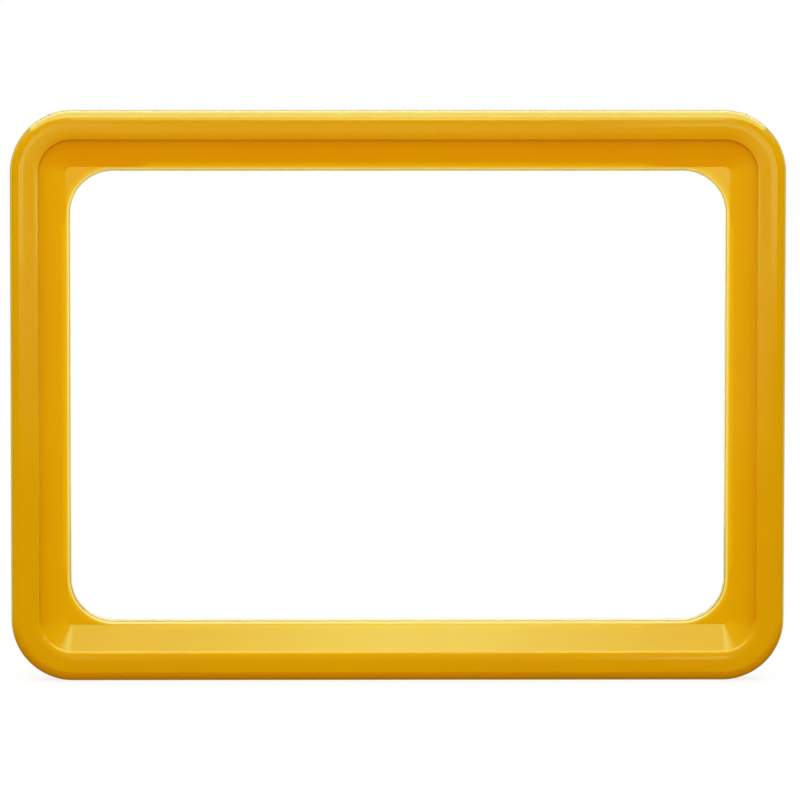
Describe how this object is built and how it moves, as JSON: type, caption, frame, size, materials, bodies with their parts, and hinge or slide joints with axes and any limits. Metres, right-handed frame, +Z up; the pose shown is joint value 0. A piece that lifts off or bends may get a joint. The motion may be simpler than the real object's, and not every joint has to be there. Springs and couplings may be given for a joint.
{
  "type": "sign frame",
  "caption": "Glossy yellow round-cornered sign frame with a raised rim and a sloped bezel, and a clear sheet pocket that slides in through the top edge.",
  "frame": {"origin": "in the parting plane between the two halves, under the middle of the bottom edge", "axes": "+X runs along the width, towards the right of the front face, +Y points out of the back, +Z is up"},
  "size_m": [0.3322, 0.0132, 0.2452],
  "materials": {
    "yellow_plastic": "glossy moulded impact polystyrene, opaque golden yellow",
    "clear_film": "clear smooth polyester film"
  },
  "bodies": {
    "frame": {"front_half": "yellow_plastic", "rear_half": "yellow_plastic"},
    "pocket": {"clear_pocket": "clear_film"}
  },
  "joints": [
    {"name": "pocket_slide", "type": "slide", "parent": "frame", "child": "pocket", "axis": [0, 0, 1], "range_m": [0, 0.23]}
  ]
}
